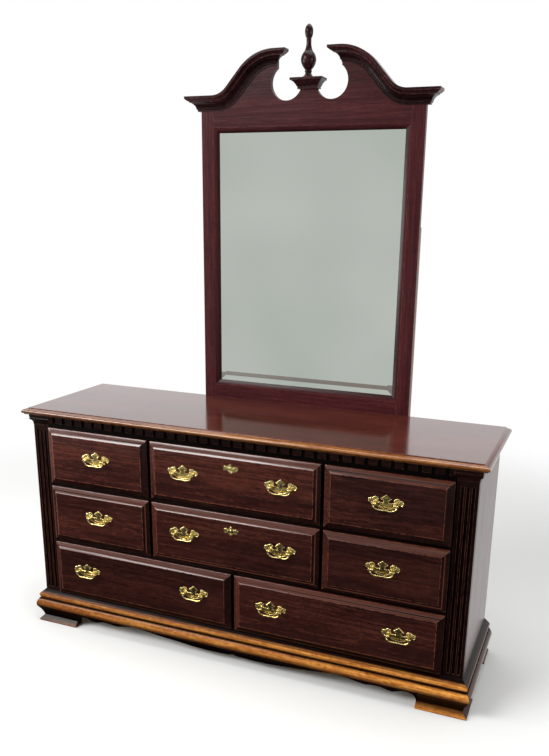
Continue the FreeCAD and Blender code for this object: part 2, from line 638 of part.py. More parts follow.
FRAME = ("rail_face", "frame_back")
bottom_rail = joined([board("-open_out", "open_out", "case_front", "frame_back", "base_join",
                            "base_top"),
                      board("-open_out", "open_out", *FRAME, "base_top", ROW_LOW[0])])
node("front_rails", [bottom_rail] + [board("-open_out", "open_out", *FRAME, low, high)
                                     for low, high in zip(ROW_HIGH, ROW_LOW[1:] + ["case_top"])])
right_stile = joined([board("open_out", "pilaster_in", *FRAME, *TALL),
                      board("pilaster_in", "case_half", "case_front + pilaster_thk",
                            "frame_back", *TALL)])
half_gap = "lip_gap / 2 + lip_over"
dividers = [board("-(%s)" % half_gap, half_gap, *FRAME, ROW_LOW[0], ROW_HIGH[0])]
for low, high in zip(ROW_LOW[1:], ROW_HIGH[1:]):
    dividers += both("divider_mid - (%s)" % half_gap, "divider_mid + " + half_gap, *FRAME, low, high)
node("front_stiles", [right_stile, mirrored(right_stile)] + dividers)

dust_low, dust_high = ROW_LOW[1] + " - 2 * board_thk", ROW_LOW[1] + " - board_thk"
wall = "partition_thk / 2"
node("inner_boards", [board("-case_in", "case_in", *INSIDE, "base_top - board_thk", "base_top"),
                      board("-case_in", "case_in", *INSIDE, dust_low, dust_high),
                      board("-" + wall, wall, *INSIDE, "base_top", dust_low)]
     + both("divider_mid - " + wall, "divider_mid + " + wall, *INSIDE, dust_high, "case_top"))
runners, guides = [], []
for row, low in enumerate(ROW_LOW):
    level = ("base_top" if row == 0 else low + " - board_thk", low)
    runners += both("open_out - runner_in", "case_in", *INSIDE, *level)
    guides += both("open_out", "open_out + board_thk", *INSIDE, low, low + " + guide_rise")
    if row == 0:
        runners += both(wall, wall + " + runner_in", *INSIDE, *level)
    else:
        runners += both("divider_mid + " + wall, "divider_mid + %s + runner_in" % wall, *INSIDE, *level)
        runners += both("divider_mid - %s - runner_in" % wall, "divider_mid - " + wall, *INSIDE, *level)
node("drawer_runners", runners + guides)

pilaster = board("pilaster_in", "case_half", "case_front", "case_front + pilaster_thk", *TALL)
flutes = []
for step in (-1, 0, 1):
    at = ("(pilaster_in + case_half) / 2 + %d * flute_pitch" % step,
          "case_front - flute_radius + flute_deep")
    flutes += [rod("flute_radius", "flute_high - flute_low", *at, "flute_low"),
               ball("flute_radius", *at, "flute_low"), ball("flute_radius", *at, "flute_high")]
right_pilaster = less(pilaster, flutes)
node("pilasters", [right_pilaster, mirrored(right_pilaster)])
node("cornice_mouldings", cornice())

teeth = [board("-pilaster_in", "pilaster_in", "case_front", "rail_face",
               "case_top - frieze_low", "case_top")]
tooth = ("case_front - dentil_proj", "case_front", "case_top - dentil_low",
         "case_top - dentil_high")
full = int((size("pilaster_in") - size("cornice_proj")) / size("dentil_pitch"))
for step in range(full):
    teeth += both("%d * dentil_pitch + dentil_gap / 2" % step,
                  "%d * dentil_pitch - dentil_gap / 2" % (step + 1), *tooth)
teeth += both("%d * dentil_pitch + dentil_gap / 2" % full,
              "pilaster_in - cornice_proj - seat_gap", *tooth)
node("dentil_strip", [joined(teeth)])

node("base_mouldings", base_strips())
front_board, side_boards = bracket_boards()
node("base_front", front_board)
node("base_sides", side_boards)
feet, blocks = rear_feet()
node("rear_feet", feet + blocks)

# ---- mirror -------------------------------------------------------------------------------
MIRROR = ("mirror_front", "mirror_back")
stiles = both("mirror_open", "mirror_half", *MIRROR, "top_height", "top_height + stile_high",
              mid="mirror_mid")
node("mirror_frame", [less(stile, [drill]) for stile in stiles]
     + [board("mirror_mid - mirror_open", "mirror_mid + mirror_open", *MIRROR, "top_height",
              "top_height + mirror_rail")])
node("mirror_sticking", sticking())
crowns, second, reach = crown(size("top_height") + size("stile_high"))
node("crown_mouldings", crowns)
node("mirror_crest", [crest_board(second, reach)])
node("finial", [finial_cap(), finial()])
glass = "mirror_open - stick_wide + glass_hold"
edge = "stick_wide - glass_hold"
node("mirror_glass", [board("mirror_mid - (%s)" % glass, "mirror_mid + " + glass,
                            "mirror_front + stick_back", "mirror_front + stick_back + glass_thk",
                            "top_height + mirror_rail + " + edge,
                            "top_height + mirror_high - (%s)" % edge)])
behind = "mirror_front + stick_back + glass_thk"
node("mirror_backing", [board("mirror_mid - mirror_open", "mirror_mid + mirror_open", behind,
                              behind + " + backing_thk", "top_height + mirror_rail",
                              "top_height + mirror_high")])
post = ("support_mid - support_wide / 2", "support_mid + support_wide / 2")
uprights = both(*post, "mirror_back", "support_back", "support_low", "support_high",
                mid="mirror_mid")
spacers = both(*post, "case_back", "mirror_back", "case_top - spacer_long", "case_top", mid="mirror_mid")
node("mirror_supports", [less(item, [drill]) for item in uprights + spacers])
node("support_screws", screws)

# ---- drawers ------------------------------------------------------------------------------
inner, outer = "divider_mid + lip_gap / 2", "lip_out"
middle = "(%s + lip_out) / 2" % inner
bottom = "(lip_gap / 2 + lip_out) / 2"
SIDE = {"left": ("-" + outer, "-(%s)" % inner, {"": "-" + middle}),
        "center": ("-(divider_mid - lip_gap / 2)", "divider_mid - lip_gap / 2",
                   {"_left": "-pull_centre", "_right": "pull_centre"}),
        "right": (inner, outer, {"": middle})}
WIDE = {"left": ("-" + outer, "-lip_gap / 2",
                 {"_outer": "-(%s + pull_bottom)" % bottom, "_inner": "-(%s - pull_bottom)" % bottom}),
        "right": ("lip_gap / 2", outer,
                  {"_inner": "%s - pull_bottom" % bottom, "_outer": "%s + pull_bottom" % bottom})}
plate, post_turned, nut = plate_shape(), post_shape(), nut_shape()
bail, escutcheon = bail_shape(), escutcheon_shape()


def drawer(label, x_from, x_to, row, pulls):
    low = "(lip_first + %d * row_pitch)" % row
    high = low + " + lip_height"
    x_from, x_to = "(%s)" % x_from, "(%s)" % x_to
    grip = low + " + lip_height / 2 + post_up"
    front = [board(x_from, x_to, "case_front - lip_edge", "rail_face - seat_gap", low, high),
             bevel(x_from, x_to, low, high, "case_front - lip_shoulder", "case_front - lip_edge",
                   "rim_wide"),
             bevel(x_from + " + flat_wide", x_to + " - flat_wide", low + " + flat_wide",
                   high + " - flat_wide", "field_face", "case_front - lip_shoulder",
                   "field_in - flat_wide"),
             board(x_from + " + lip_over + tongue_side", x_to + " - lip_over - tongue_side",
                   "rail_face - seat_gap", "drawer_back", low + " + lip_over + tongue_side",
                   high + " - lip_over - tongue_top")]
    holes = []
    for x_at in pulls.values():
        for side in ("- post_half", "+ post_half"):
            holes.append(rod("shank_radius + shank_clear", "front_back + lip_field + 2",
                             x_at + side, "drawer_back + 1", grip, (1, 0, 0), 90))
    key_at = low + " + lip_height / 2 + key_up"
    locked = "center" in label
    if locked:
        holes.append(rod("key_hole", "front_back + lip_field + 2", "0", "drawer_back + 1",
                         key_at + " + 2", (1, 0, 0), 90))
    node("drawer_front_" + label, [less(joined(front), holes)])

    left, right = x_from + " + lip_over + box_gap", x_to + " - lip_over - box_gap"
    floor = low + " + lip_over + seat_gap"
    end = "drawer_back + box_length"
    tall = (floor, floor + " + box_side")
    within = (left + " + board_thk", right + " - board_thk")
    node("drawer_box_" + label, [
        board(left, left + " + board_thk", "drawer_back", end, *tall),
        board(right + " - board_thk", right, "drawer_back", end, *tall),
        board(*within, end + " - board_thk", end, floor, floor + " + box_side - back_drop"),
        board(*within, "drawer_back", end + " - board_thk", floor + " + bottom_up",
              floor + " + bottom_up + bottom_thk")])

    metal = []
    for name, x_at in pulls.items():
        metal.append(shaped(plate, x_at, "field_face", grip))
        for side in (" - post_half", " + post_half"):
            metal += [shaped(post_turned, x_at + side, "field_face", grip),
                      shaped(nut, x_at + side, "field_face", grip)]
        node("bail_" + label + name, [shaped(bail, x_at, "pivot_face", grip)])
    if locked:
        metal.append(shaped(escutcheon, "0", "field_face", key_at))
    node("drawer_pulls_" + label, metal)


for row, (name, columns) in enumerate((("bottom", WIDE), ("middle", SIDE), ("top", SIDE))):
    for column, (x_from, x_to, pulls) in columns.items():
        drawer("%s_%s" % (name, column), x_from, x_to, row, pulls)

# ---- check and write ----------------------------------------------------------------------
doc.recompute()
for item in doc.Objects:
    assert not {"Invalid", "Error"} & set(item.State), (item.Label, item.State)
os.makedirs("parts", exist_ok=True)
whole = FreeCAD.BoundBox()
for item in nodes:
    shape = item.Shape
    assert not shape.isNull() and shape.isValid() and shape.Solids, item.Label
    assert all(solid.Volume > 1 for solid in shape.Solids), item.Label
    whole.add(shape.optimalBoundingBox(False, False))
    shape.exportStep("parts/%s.step" % item.Label)
    print("%-28s %2d solids %11.0f mm3" % (item.Label, len(shape.Solids), shape.Volume))
print("%d nodes, %.2f x %.2f x %.2f" % (len(nodes), whole.XLength, whole.YLength, whole.ZLength))
print("x %.2f..%.2f  y %.2f..%.2f  z %.2f..%.2f" % (whole.XMin, whole.XMax, whole.YMin,
                                                    whole.YMax, whole.ZMin, whole.ZMax))
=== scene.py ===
import bpy, bmesh, json, math
from mathutils import Matrix, Vector


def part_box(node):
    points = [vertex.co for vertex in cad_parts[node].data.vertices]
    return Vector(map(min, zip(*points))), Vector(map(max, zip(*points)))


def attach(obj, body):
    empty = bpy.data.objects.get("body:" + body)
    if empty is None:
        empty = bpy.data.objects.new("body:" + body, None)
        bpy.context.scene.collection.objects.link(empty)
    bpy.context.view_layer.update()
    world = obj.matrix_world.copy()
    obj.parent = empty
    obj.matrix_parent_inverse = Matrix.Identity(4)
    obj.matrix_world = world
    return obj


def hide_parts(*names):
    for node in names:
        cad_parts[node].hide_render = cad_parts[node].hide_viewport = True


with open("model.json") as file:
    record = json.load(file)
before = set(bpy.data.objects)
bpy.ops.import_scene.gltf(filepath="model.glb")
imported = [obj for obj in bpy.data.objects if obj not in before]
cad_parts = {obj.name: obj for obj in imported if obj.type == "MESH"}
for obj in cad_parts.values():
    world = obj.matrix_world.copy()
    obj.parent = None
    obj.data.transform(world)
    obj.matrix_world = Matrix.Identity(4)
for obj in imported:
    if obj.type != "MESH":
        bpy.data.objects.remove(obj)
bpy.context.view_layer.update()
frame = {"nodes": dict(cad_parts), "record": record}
record = frame["record"]
bodyOfNode = {node: body for body, nodes in record["behaviour"]["bodies"].items() for node in nodes}
scene = bpy.context.scene
mm = 0.001
print("stage 1: frame loaded,", len(frame["nodes"]), "nodes")


def clamp(value):
    return max(0.0, min(1.0, value))


def linearColour(hexText):
    # an sRGB hex colour turned linear
    values = [int(hexText[i:i + 2], 16) / 255 for i in (1, 3, 5)]
    return [v / 12.92 if v <= 0.04045 else ((v + 0.055) / 1.055) ** 2.4 for v in values] + [1.0]


def setNode(tree, node, settings):
    # settings: attribute or input -> value, hex colour or output socket
    for key, value in settings.items():
        if isinstance(value, bpy.types.NodeSocket):
            tree.links.new(value, node.inputs[key])
        elif isinstance(key, str) and hasattr(node, key):
            setattr(node, key, value)
        elif isinstance(value, str):
            node.inputs[key].default_value = linearColour(value)
        else:
            node.inputs[key].default_value = value
    return node


def addNode(tree, kind, settings=None):
    return setNode(tree, tree.nodes.new(kind), settings or {})


def addMath(tree, operation, *values, **more):
    # values: numbers or output sockets
    settings = {"operation": operation, **more, **dict(enumerate(values))}
    return addNode(tree, "ShaderNodeMath", settings).outputs[0]


def mapRange(tree, value, low, high, newLow=0.0, newHigh=1.0, blend="LINEAR"):
    ends = {"From Min": low, "From Max": high, "To Min": newLow, "To Max": newHigh}
    settings = {"interpolation_type": blend, "Value": value, **ends}
    return addNode(tree, "ShaderNodeMapRange", settings).outputs["Result"]


def smoothStep(tree, value, low, high):
    return mapRange(tree, value, low, high, blend="SMOOTHSTEP")


def mixColour(tree, part, first, second):
    # first and second: hex colour or output socket
    settings = {"data_type": "RGBA", 0: part, 6: first, 7: second}
    return addNode(tree, "ShaderNodeMix", settings).outputs[2]


def addRamp(tree, factor, stops):
    # stops: position and hex colour
    node = addNode(tree, "ShaderNodeValToRGB", {"Fac": factor})
    ramp = node.color_ramp
    while len(ramp.elements) > 1:
        ramp.elements.remove(ramp.elements[-1])
    ramp.elements[0].position, ramp.elements[0].color = stops[0][0], linearColour(stops[0][1])
    for position, colour in stops[1:]:
        ramp.elements.new(position).color = linearColour(colour)
    return node.outputs["Color"]


def addNoise(tree, place, scale, detail, roughness, distortion=0.0):
    settings = {"Vector": place, "Scale": scale, "Detail": detail, "Roughness": roughness,
                "Distortion": distortion}
    return addNode(tree, "ShaderNodeTexNoise", settings).outputs["Fac"]


def addBump(tree, height, strength, distance):
    settings = {"Strength": strength, "Distance": distance, "Height": height}
    return addNode(tree, "ShaderNodeBump", settings).outputs[0]


def addAttribute(tree, name, output):
    return addNode(tree, "ShaderNodeAttribute", {"attribute_name": name}).outputs[output]


def objectPlace(tree):
    return addNode(tree, "ShaderNodeTexCoord").outputs["Object"]


def newMaterial(name):
    material = bpy.data.materials.new(name)
    material.use_nodes = True
    tree = material.node_tree
    tree.nodes.clear()
    shader = addNode(tree, "ShaderNodeBsdfPrincipled")
    addNode(tree, "ShaderNodeOutputMaterial", {"Surface": shader.outputs[0]})
    return material, tree, shader


def shownRays(tree):
    # the light path, and 1 for rays that show a backdrop: from the camera, off a glossy surface
    # or through glass
    ray = addNode(tree, "ShaderNodeLightPath")
    half = addMath(tree, "ADD", ray.outputs["Is Camera Ray"], ray.outputs["Is Glossy Ray"])
    whole = addMath(tree, "ADD", half, ray.outputs["Is Transmission Ray"], use_clamp=True)
    return ray, whole


def meshData(mesh, name):
    data = bpy.data.meshes.new(name)
    mesh.to_mesh(data)
    mesh.free()
    return data


# the camera stands to the right of the middle, above the top, with a slight roll
cameraLook = {"place": (1.114, -2.527, 1.556), "turn": 21.84, "down": 16.83, "roll": 0.85,
              "lens": 38.376, "sensor": 36, "shiftX": -0.0159, "shiftY": 0.0993,
              "near": 0.05, "far": 100}
cameraData = bpy.data.cameras.new("camera")
cameraData.lens, cameraData.sensor_width = cameraLook["lens"], cameraLook["sensor"]
cameraData.shift_x, cameraData.shift_y = cameraLook["shiftX"], cameraLook["shiftY"]
cameraData.clip_start, cameraData.clip_end = cameraLook["near"], cameraLook["far"]
camera = bpy.data.objects.new("camera", cameraData)
camera.matrix_world = (Matrix.Translation(cameraLook["place"])
                       @ Matrix.Rotation(math.radians(cameraLook["turn"]), 4, "Z")
                       @ Matrix.Rotation(math.radians(90 - cameraLook["down"]), 4, "X")
                       @ Matrix.Rotation(math.radians(cameraLook["roll"]), 4, "Z"))
scene.collection.objects.link(camera)
scene.camera = camera
scene.view_settings.view_transform = "Standard"

# soft boxes: a low one on the left, a wide high one in front on the left that the slopes above
# the drawer fields show, one on the right and a wide one above
lamps = {
    "lowLeft": {"place": (-3.4, -1.9, 1.3), "aim": (-0.3, -0.2, 0.6), "size": (1.2, 1.2),
                "watts": 75},
    "highLeft": {"place": (-3.3, -3.9, 4.0), "aim": (-0.1, -0.2, 0.6), "size": (3.4, 1.9),
                 "watts": 270},
    "right": {"place": (3.4, -0.5, 1.9), "aim": (0.8, 0.0, 0.5), "size": (1.4, 1.4),
              "watts": 40},
    "above": {"place": (0.3, 0.2, 4.2), "aim": (0.2, 0.0, 0.0), "size": (3.4, 2.6),
              "watts": 105}}
softBoxes = []
for name, lamp in lamps.items():
    data = bpy.data.lights.new(name, "AREA")
    data.shape, data.energy = "RECTANGLE", lamp["watts"]
    data.size, data.size_y = lamp["size"]
    light = bpy.data.objects.new(name, data)
    light.location = lamp["place"]
    towards = Vector(lamp["aim"]) - light.location
    light.rotation_euler = towards.to_track_quat("-Z", "Y").to_euler()
    scene.collection.objects.link(light)
    softBoxes.append(light)

# the studio: a white sweep behind the piece, a grey room with a dark ceiling on the camera's
# side that only glossy and clear surfaces show, and a soft grey level for what is lit
studioLook = {"lit": "#c4c6c6", "litStrength": 0.36, "room": "#c6c8c2", "white": "#ffffff",
              "ceiling": "#2e2a28", "ceilingLow": 0.17, "ceilingHigh": 0.32,
              "turnLow": -0.35, "turnHigh": 0.25, "cameraTurn": 2.0}


def roomColour(tree, ray, depth, front):
    # white towards the back and for the camera itself, the colour given towards the front
    back = addMath(tree, "MULTIPLY_ADD", ray.outputs["Is Camera Ray"], studioLook["cameraTurn"],
                   depth)
    part = smoothStep(tree, back, studioLook["turnLow"], studioLook["turnHigh"])
    return mixColour(tree, part, front, studioLook["white"])


world = bpy.data.worlds.new("studio")
scene.world = world
world.use_nodes = True
sky = world.node_tree
sky.nodes.clear()
direction = addNode(sky, "ShaderNodeTexCoord")
aim = addNode(sky, "ShaderNodeSeparateXYZ", {0: direction.outputs["Generated"]})
ray, shown = shownRays(sky)
lit = addNode(sky, "ShaderNodeBackground", {"Color": studioLook["lit"],
                                            "Strength": studioLook["litStrength"]})
overhead = smoothStep(sky, aim.outputs["Z"], studioLook["ceilingLow"], studioLook["ceilingHigh"])
ceiling = mixColour(sky, overhead, studioLook["room"], studioLook["ceiling"])
seen = addNode(sky, "ShaderNodeBackground",
               {"Color": roomColour(sky, ray, aim.outputs["Y"], ceiling)})
mixed = addNode(sky, "ShaderNodeMixShader", {0: shown, 1: lit.outputs[0], 2: seen.outputs[0]})
addNode(sky, "ShaderNodeOutputWorld", {"Surface": mixed.outputs[0]})

# floor: a pale sheet that keeps the shadow near the piece and runs into the backdrop; polished
# fronts see a dark carpet in it near the piece, and the grey of the room farther off
floorLook = {"paint": "#eeeeec", "rough": 0.9, "gloss": 0.0, "half": 40, "under": 0.5 * mm,
             "near": 1.5, "far": 3.2, "carpet": "#24211f", "carpetNear": 3.3, "carpetFar": 4.3}
floorMesh = bmesh.new()
bmesh.ops.create_grid(floorMesh, x_segments=1, y_segments=1, size=floorLook["half"],
                      matrix=Matrix.Translation((0, 0, -floorLook["under"])))
floor = bpy.data.objects.new("floor", meshData(floorMesh, "floor"))
scene.collection.objects.link(floor)
floorPaint, floorTree, floorShader = newMaterial("paleStudioFloor")
setNode(floorTree, floorShader, {"Base Color": floorLook["paint"], "Roughness": floorLook["rough"],
                                 "Specular IOR Level": floorLook["gloss"]})
floorPlace = objectPlace(floorTree)
away = addNode(floorTree, "ShaderNodeVectorMath", {"operation": "LENGTH", 0: floorPlace})
distance = away.outputs["Value"]
fade = smoothStep(floorTree, distance, floorLook["near"], floorLook["far"])
toward = addNode(floorTree, "ShaderNodeVectorMath", {"operation": "NORMALIZE", 0: floorPlace})
sideways = addNode(floorTree, "ShaderNodeSeparateXYZ", {0: toward.outputs[0]})
ray, shown = shownRays(floorTree)
carpetEnd = smoothStep(floorTree, distance, floorLook["carpetNear"], floorLook["carpetFar"])
carpet = mixColour(floorTree, carpetEnd, floorLook["carpet"], studioLook["room"])
sheet = addNode(floorTree, "ShaderNodeEmission",
                {"Color": roomColour(floorTree, ray, sideways.outputs["Y"], carpet)})
reach = addMath(floorTree, "MAXIMUM", fade, ray.outputs["Is Glossy Ray"])
share = addMath(floorTree, "MULTIPLY", reach, shown)
floorMix = addNode(floorTree, "ShaderNodeMixShader",
                   {0: share, 1: floorShader.outputs[0], 2: sheet.outputs[0]})
setNode(floorTree, floorTree.nodes["Material Output"], {"Surface": floorMix.outputs[0]})
floor.data.materials.append(floorPaint)
print("stage 2: camera, lamps and floor")

# Mahogany, stained red-brown, filled and lacquered: near-black pores and paler streaks in long
# arches under a satin shine. dark, middle and light run from the stained pores to the wood
# between them, edge is the worn arris with its painted highlight, and arch the share of the
# growth rings.
woodFinishes = {
    "frontMahogany": {"dark": "#190706", "middle": "#35140f", "light": "#54271b",
                      "edge": "#74402f", "rough": 0.20, "gloss": 0.7, "coat": 0.0, "arch": 0.30},
    "topMahogany": {"dark": "#2c100d", "middle": "#55251c", "light": "#753d30",
                    "edge": "#9a5a44", "rough": 0.15, "gloss": 0.5, "coat": 0.55, "arch": 0.22},
    "caseMahogany": {"dark": "#070303", "middle": "#140706", "light": "#26100d",
                     "edge": "#5c3024", "rough": 0.30, "gloss": 0.1, "coat": 0.0, "arch": 0.1},
    "sideMahogany": {"dark": "#24100d", "middle": "#46241c", "light": "#663a2c",
                     "edge": "#7a4a38", "rough": 0.32, "gloss": 0.35, "coat": 0.1, "arch": 0.3},
    "baseMahogany": {"dark": "#1a0a05", "middle": "#43200f", "light": "#6b3a1a",
                     "edge": "#b06c34", "rough": 0.24, "gloss": 0.12, "coat": 0.0, "arch": 0.15},
    "mirrorMahogany": {"dark": "#2a1013", "middle": "#3f181b", "light": "#552628",
                       "edge": "#733c38", "rough": 0.26, "gloss": 0.14, "coat": 0.0, "arch": 0.25},
    "crownMahogany": {"dark": "#0a0304", "middle": "#210c0e", "light": "#3e1b1e",
                      "edge": "#5e302e", "rough": 0.22, "gloss": 0.16, "coat": 0.0, "arch": 0.15}}
stainStops = {"dark": 0.0, "middle": 0.48, "light": 1.0}
# stain wiped thin shows the wood amber, and the same amber paints warm light on lit edges and
# bands; near-black glaze with painted shade darkens hollows, gaps and undersides
amberStainAndLight = {"dark": "#4e240e", "middle": "#b46a2a", "light": "#f6b458", "glazeAndShade": "#040101"}
amberStops = {"dark": 0.0, "middle": 0.4, "light": 0.95}
# what the grain adds up from: size across and along the board in metres, detail, roughness and
# distortion of each noise
grainNoise = {"figure": (0.085, 0.60, 3.0, 0.55, 0.4), "streaks": (0.0048, 0.13, 4.0, 0.62, 0.15),
              "fine": (0.0016, 0.045, 2.0, 0.5, 0.0), "mottle": (0.010, 0.014, 2.0, 0.6, 0.0)}
grainWeight = {"streaks": 0.55, "fine": 0.50, "figure": 0.8, "mottle": 0.45}
# growth rings about 9 mm apart, cut nearly along the log, so they run out as long arches
ringLook = {"lean": 3.5, "stretch": 0.11, "heart": (0, 0.075, 0.03),
            "wave": {"Scale": 21.0, "Distortion": 7.0, "Detail": 4.0, "Detail Scale": 5.0,
                     "Detail Roughness": 0.7}}
lacquerLook = {"darker": 0.36, "lighter": 0.40, "rubbed": (0.35, 0.62), "streaks": (0.3, 0.7),
               "smoother": 0.05, "duller": 0.06, "relief": 0.12, "reliefDeep": 0.3 * mm,
               "index": 1.5, "coatRough": 0.10}
grainTurn = {"X": (0, 0, 0), "Y": (0, 0, math.radians(-90)), "Z": (0, math.radians(90), 0)}
woodMade = {}


def lacqueredWood(finish, axis):
    key = finish + axis
    if key in woodMade:
        return woodMade[key]
    look = woodFinishes[finish]
    material, tree, shader = newMaterial(key)
    moved = addNode(tree, "ShaderNodeVectorMath", {"operation": "ADD", 0: objectPlace(tree),
                                                   1: addAttribute(tree, "boardShift", "Vector")})
    along = addNode(tree, "ShaderNodeMapping", {"Rotation": grainTurn[axis],
                                                "Vector": moved.outputs[0]}).outputs[0]
    grain = {}
    for name, (across, length, *noise) in grainNoise.items():
        stretch = addNode(tree, "ShaderNodeMapping", {"Scale": (1 / length, 1 / across, 1 / across),
                                                      "Vector": along})
        grain[name] = addNoise(tree, stretch.outputs[0], 1.0, *noise)
    log = addNode(tree, "ShaderNodeMapping", {
        "Rotation": (0, 0, math.radians(ringLook["lean"])), "Scale": (ringLook["stretch"], 1, 1),
        "Location": ringLook["heart"], "Vector": along})
    rings = addNode(tree, "ShaderNodeTexWave", {
        "wave_type": "RINGS", "rings_direction": "X", "wave_profile": "SAW",
        "Vector": log.outputs[0], **ringLook["wave"]})
    grain["rings"] = rings.outputs["Fac"]
    weights = {**grainWeight, "rings": look["arch"]}
    total = 0.0
    for name, weight in weights.items():
        total = addMath(tree, "MULTIPLY_ADD", grain[name], weight, total)
    centre = sum(weights.values()) / 2
    tone = mapRange(tree, total, centre - lacquerLook["darker"], centre + lacquerLook["lighter"])
    stain = addRamp(tree, tone, [(stop, look[name]) for name, stop in stainStops.items()])
    amber = addRamp(tree, tone, [(stop, amberStainAndLight[name]) for name, stop in amberStops.items()])
    # boardTone: x darkens with glaze and painted shade, y thins the stain to amber and paints
    # warm light, z lays painted light in the edge colour
    amount = addNode(tree, "ShaderNodeSeparateXYZ", {0: addAttribute(tree, "boardTone", "Vector")})
    rubbed = mapRange(tree, grain["mottle"], *lacquerLook["rubbed"])
    # the arrises take the edge colour: wear and painted highlight together
    arris = addMath(tree, "MULTIPLY", addAttribute(tree, "edgeWearAndHighlight", "Fac"), rubbed)
    wearAndLight = addMath(tree, "MAXIMUM", arris, amount.outputs["Z"])
    thin = mixColour(tree, amount.outputs["Y"], stain, amber)
    wornAndLit = mixColour(tree, wearAndLight, thin, look["edge"])
    dull = mapRange(tree, grain["streaks"], *lacquerLook["streaks"],
                    look["rough"] - lacquerLook["smoother"], look["rough"] + lacquerLook["duller"])
    setNode(tree, shader, {
        "Base Color": mixColour(tree, amount.outputs["X"], wornAndLit, amberStainAndLight["glazeAndShade"]),
        "Roughness": dull,
        "Normal": addBump(tree, grain["streaks"], lacquerLook["relief"], lacquerLook["reliefDeep"]),
        "IOR": lacquerLook["index"], "Specular IOR Level": look["gloss"],
        "Coat Weight": look["coat"], "Coat Roughness": lacquerLook["coatRough"]})
    woodMade[key] = material
    return material


# Planed poplar, sealed: pale and dull, with a faint straight grain. Pressed hardboard: brown
# fibres in no direction, dull. Here and below a noise is given as scale, detail and roughness.
bareLook = {"grain": (1.0, 5.0, 0.6), "relief": 0.25, "reliefDeep": 0.4 * mm, "gloss": 0.3}
poplarLook = {"scale": (9, 150, 150), "tint": [(0.3, "#8f7350"), (0.7, "#b99b72")], "rough": 0.55}
supportLook = {**poplarLook, "tint": [(0.3, "#7d6245"), (0.7, "#a98a63")]}
hardboardLook = {"scale": (260, 260, 260), "tint": [(0.3, "#4d3422"), (0.7, "#6b4a30")],
                 "rough": 0.6}


def bareWood(name, axis, look):
    material, tree, shader = newMaterial(name)
    along = addNode(tree, "ShaderNodeMapping", {"Rotation": grainTurn[axis], "Scale": look["scale"],
                                                "Vector": objectPlace(tree)})
    grain = addNoise(tree, along.outputs[0], *bareLook["grain"])
    setNode(tree, shader, {
        "Base Color": addRamp(tree, grain, look["tint"]),
        "Normal": addBump(tree, grain, bareLook["relief"], bareLook["reliefDeep"]),
        "Roughness": look["rough"], "Specular IOR Level": bareLook["gloss"]})
    return material


poplarX = bareWood("planedPoplarX", "X", poplarLook)
poplarY = bareWood("planedPoplarY", "Y", poplarLook)
poplarZ = bareWood("planedPoplarZ", "Z", supportLook)
hardboard = bareWood("pressedHardboard", "X", hardboardLook)

# Cast brass under clear lacquer: rubbed bright on the high parts, olive brown patina with painted
# shade in the hollows and along the foot of the plate
brassLook = {"patina": (120.0, 4.0, 0.6), "tint": [(0.30, "#ac8c3c"), (0.50, "#f4e09c")],
             "patinaAndShade": "#2c220a", "dull": (0.3, 0.7), "agedRough": 0.32, "brightRough": 0.16}
brass, brassTree, brassShader = newMaterial("lacqueredCastBrass")
patina = addNoise(brassTree, objectPlace(brassTree), *brassLook["patina"])
setNode(brassTree, brassShader, {
    "Base Color": mixColour(brassTree, addAttribute(brassTree, "patinaAndShade", "Fac"),
                            addRamp(brassTree, patina, brassLook["tint"]), brassLook["patinaAndShade"]),
    "Roughness": mapRange(brassTree, patina, *brassLook["dull"], brassLook["agedRough"],
                          brassLook["brightRough"]),
    "Metallic": 1.0})

# Zinc plated steel screws: dull grey, slightly mottled by the plating
steelLook = {"spangle": (400.0, 3.0, 0.5), "tint": [(0.3, "#8b8c8a"), (0.7, "#b9bab8")],
             "rough": 0.38}
steel, steelTree, steelShader = newMaterial("zincPlatedSteel")
spangle = addNoise(steelTree, objectPlace(steelTree), *steelLook["spangle"])
setNode(steelTree, steelShader, {"Base Color": addRamp(steelTree, spangle, steelLook["tint"]),
                                 "Metallic": 1.0, "Roughness": steelLook["rough"]})

# Silvered plate glass: nearly perfect, with a faint green-grey tint and the least unevenness.
# The silver lies flat behind the ground bevel, so what the bevel shows is turned inward.
silverLook = {"ripple": (2.2, 1.0, 0.5), "tint": [(0.3, "#dbe2df"), (0.7, "#eef2f0")],
              "rough": 0.015}
silvered, silverTree, silverShader = newMaterial("silveredGlass")
ripple = addNoise(silverTree, objectPlace(silverTree), *silverLook["ripple"])
silverFace = addNode(silverTree, "ShaderNodeNewGeometry")
turned = addNode(silverTree, "ShaderNodeVectorMath", {
    "operation": "ADD", 0: silverFace.outputs["Normal"],
    1: addAttribute(silverTree, "groundTurn", "Vector")})
turnedFace = addNode(silverTree, "ShaderNodeVectorMath",
                     {"operation": "NORMALIZE", 0: turned.outputs[0]})
setNode(silverTree, silverShader, {"Base Color": addRamp(silverTree, ripple, silverLook["tint"]),
                                   "Normal": turnedFace.outputs[0], "Metallic": 1.0,
                                   "Roughness": silverLook["rough"]})
print("stage 3: finishes")

# the distance within which vertices are one, then angles in degrees
meshLook = {"merge": 0.01 * mm, "flat": 0.5, "crisp": 28, "woodSharp": 32, "castSharp": 50,
            "postSharp": 40}


def finishPiece(mesh, name, node):
    # the piece takes the place of the node, on the same body
    piece = bpy.data.objects.new(name, meshData(mesh, name))
    scene.collection.objects.link(piece)
    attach(piece, bodyOfNode[node])
    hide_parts(node)
    return piece


def cadCopy(node):
    mesh = bmesh.new()
    mesh.from_mesh(frame["nodes"][node].data)
    bmesh.ops.remove_doubles(mesh, verts=mesh.verts, dist=meshLook["merge"])
    bmesh.ops.dissolve_limit(mesh, angle_limit=math.radians(meshLook["flat"]), verts=mesh.verts,
                             edges=mesh.edges)
    return mesh


